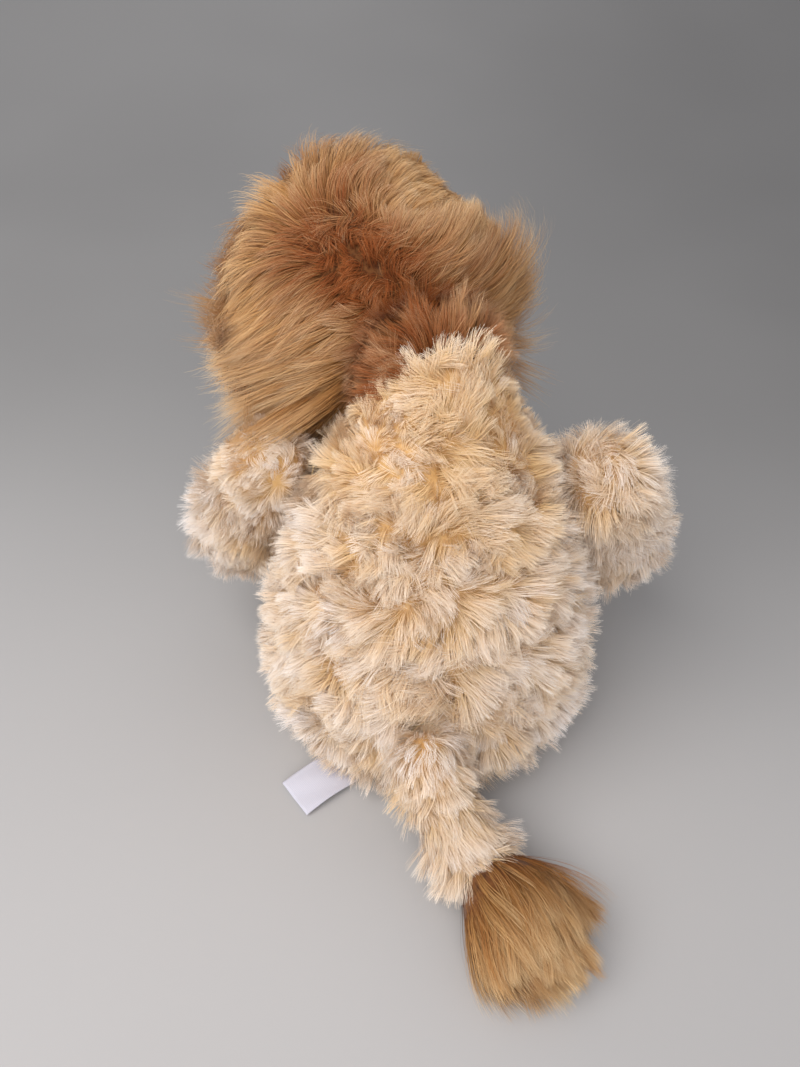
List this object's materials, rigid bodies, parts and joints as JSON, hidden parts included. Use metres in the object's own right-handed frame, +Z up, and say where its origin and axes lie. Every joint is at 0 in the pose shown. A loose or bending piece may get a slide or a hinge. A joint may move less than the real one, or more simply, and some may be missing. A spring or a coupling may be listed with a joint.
{
  "type": "plush lion",
  "caption": "Sitting plush lion with a long caramel mane, cream frosted pile, tufted tail and a bare ribbon label; head, ears, arms, legs and tail flex on sewn joints.",
  "frame": {"origin": "centre of the flat seat, on the surface that the lion sits on", "axes": "+Z up, the lion faces -Y, +X is its left side"},
  "size_m": [0.2562, 0.342, 0.2642],
  "materials": {
    "back_pile": "matte",
    "back_pile_right": "matte",
    "belly_pile": "matte",
    "seat_cloth": "matte",
    "stuffing": "matte",
    "pouch_cloth": "matte",
    "pellets": "satin",
    "arm_pile": "matte",
    "arm_pile_inner": "matte",
    "leg_pile": "matte",
    "leg_pile_under": "matte",
    "sole": "matte",
    "thread": "matte",
    "tail_pile": "matte",
    "tuft_pile": "matte",
    "mane_pile": "matte",
    "mane_pile_right": "matte",
    "face_pile": "matte",
    "face_pile_right": "matte",
    "muzzle_pile": "matte",
    "chin_pile": "matte",
    "eye": "gloss",
    "washer": "satin",
    "nose": "matte",
    "mouth": "satin",
    "ear_pile": "matte",
    "ear_inner": "matte",
    "label": "satin"
  },
  "bodies": {
    "torso": {"back_panel_left": "back_pile", "back_panel_right": "back_pile_right", "belly_panel": "belly_pile", "seat_gusset": "seat_cloth", "torso_stuffing": "stuffing", "pellet_pouch": "pouch_cloth", "pellet_fill": "pellets"},
    "neck_stitch": {"neck_ladder_stitch": "thread"},
    "neck_ball": {"neck_stuffing": "stuffing"},
    "head": {"mane_panel_left": "mane_pile", "mane_panel_right": "mane_pile_right", "face_panel_left": "face_pile", "face_panel_right": "face_pile_right", "muzzle_panel": "muzzle_pile", "chin_panel": "chin_pile", "head_stuffing": "stuffing", "eye_left": "eye", "eye_right": "eye", "eye_washer_left": "washer", "eye_washer_right": "washer", "nose": "nose", "mouth_stitching": "mouth"},
    "ear_left": {"ear_outer_left": "ear_pile", "ear_inner_left": "ear_inner"},
    "shoulder_left": {"shoulder_stitching_left": "thread"},
    "arm_left": {"arm_outer_panel_left": "arm_pile", "arm_inner_panel_left": "arm_pile_inner", "arm_stuffing_left": "stuffing"},
    "hip_left": {"hip_stitching_left": "thread"},
    "leg_left": {"leg_top_panel_left": "leg_pile", "leg_under_panel_left": "leg_pile_under", "leg_stuffing_left": "stuffing", "sole_pad_left": "sole"},
    "ear_right": {"ear_outer_right": "ear_pile", "ear_inner_right": "ear_inner"},
    "shoulder_right": {"shoulder_stitching_right": "thread"},
    "arm_right": {"arm_outer_panel_right": "arm_pile", "arm_inner_panel_right": "arm_pile_inner", "arm_stuffing_right": "stuffing"},
    "hip_right": {"hip_stitching_right": "thread"},
    "leg_right": {"leg_top_panel_right": "leg_pile", "leg_under_panel_right": "leg_pile_under", "leg_stuffing_right": "stuffing", "sole_pad_right": "sole"},
    "tail_root": {"tail_stitching": "thread"},
    "tail": {"tail_cover": "tail_pile", "tail_stuffing": "stuffing", "tail_tuft": "tuft_pile"},
    "label": {"seam_label": "label"}
  },
  "joints": [
    {"name": "head_turn", "type": "hinge", "parent": "torso", "child": "neck_stitch", "pos_m": [0.002, -0.022, 0.19], "axis": [0, 0, 1], "range_deg": [-36, 4], "stiffness_Nm_per_rad": 1.5},
    {"name": "head_tilt", "type": "hinge", "parent": "neck_stitch", "child": "neck_ball", "pos_m": [0.002, -0.022, 0.19], "axis": [0, 1, 0], "range_deg": [-40, 5], "stiffness_Nm_per_rad": 1.5},
    {"name": "head_nod", "type": "hinge", "parent": "neck_ball", "child": "head", "pos_m": [0.002, -0.022, 0.19], "axis": [1, 0, 0], "range_deg": [-35, 0], "stiffness_Nm_per_rad": 1.5},
    {"name": "ear_fold_left", "type": "hinge", "parent": "head", "child": "ear_left", "pos_m": [0.02195, -0.13999, 0.23729], "axis": [-0.9562, 0.0122, -0.2923], "range_deg": [-30, 35], "stiffness_Nm_per_rad": 0.03},
    {"name": "arm_swing_left", "type": "hinge", "parent": "torso", "child": "shoulder_left", "pos_m": [0.0795, -0.013, 0.147], "axis": [-1, 0, 0], "range_deg": [-12, 35], "stiffness_Nm_per_rad": 0.5},
    {"name": "arm_lift_left", "type": "hinge", "parent": "shoulder_left", "child": "arm_left", "pos_m": [0.0795, -0.013, 0.147], "axis": [0, -1, 0], "range_deg": [0, 60], "stiffness_Nm_per_rad": 0.5},
    {"name": "leg_spread_left", "type": "hinge", "parent": "torso", "child": "hip_left", "pos_m": [0.0565, -0.0835, 0.03], "axis": [0, 0, 1], "range_deg": [-12, 25], "stiffness_Nm_per_rad": 0.8},
    {"name": "leg_lift_left", "type": "hinge", "parent": "hip_left", "child": "leg_left", "pos_m": [0.0565, -0.0835, 0.03], "axis": [-0.9528, -0.3035, 0], "range_deg": [0, 45], "stiffness_Nm_per_rad": 0.8},
    {"name": "ear_fold_right", "type": "hinge", "parent": "head", "child": "ear_right", "pos_m": [0.087, -0.12249, 0.2039], "axis": [-0.2458, -0.3355, 0.9094], "range_deg": [-30, 35], "stiffness_Nm_per_rad": 0.03},
    {"name": "arm_swing_right", "type": "hinge", "parent": "torso", "child": "shoulder_right", "pos_m": [-0.0795, -0.013, 0.147], "axis": [-1, 0, 0], "range_deg": [-12, 35], "stiffness_Nm_per_rad": 0.5},
    {"name": "arm_lift_right", "type": "hinge", "parent": "shoulder_right", "child": "arm_right", "pos_m": [-0.0795, -0.013, 0.147], "axis": [0, 1, 0], "range_deg": [0, 60], "stiffness_Nm_per_rad": 0.5},
    {"name": "leg_spread_right", "type": "hinge", "parent": "torso", "child": "hip_right", "pos_m": [-0.0565, -0.0835, 0.03], "axis": [0, 0, -1], "range_deg": [-12, 25], "stiffness_Nm_per_rad": 0.8},
    {"name": "leg_lift_right", "type": "hinge", "parent": "hip_right", "child": "leg_right", "pos_m": [-0.0565, -0.0835, 0.03], "axis": [-0.9528, 0.3035, 0], "range_deg": [0, 45], "stiffness_Nm_per_rad": 0.8},
    {"name": "tail_wag", "type": "hinge", "parent": "torso", "child": "tail_root", "pos_m": [0, 0.0886, 0.06], "axis": [0, 0, 1], "range_deg": [-35, 35], "stiffness_Nm_per_rad": 0.3},
    {"name": "tail_lift", "type": "hinge", "parent": "tail_root", "child": "tail", "pos_m": [0, 0.0886, 0.06], "axis": [1, 0, 0], "range_deg": [0, 70], "stiffness_Nm_per_rad": 0.3},
    {"name": "label_flap", "type": "hinge", "parent": "torso", "child": "label", "pos_m": [0.0402, 0.0543, 0.0024], "axis": [0.6408, -0.7677, 0], "range_deg": [0, 40], "stiffness_Nm_per_rad": 0.004}
  ]
}
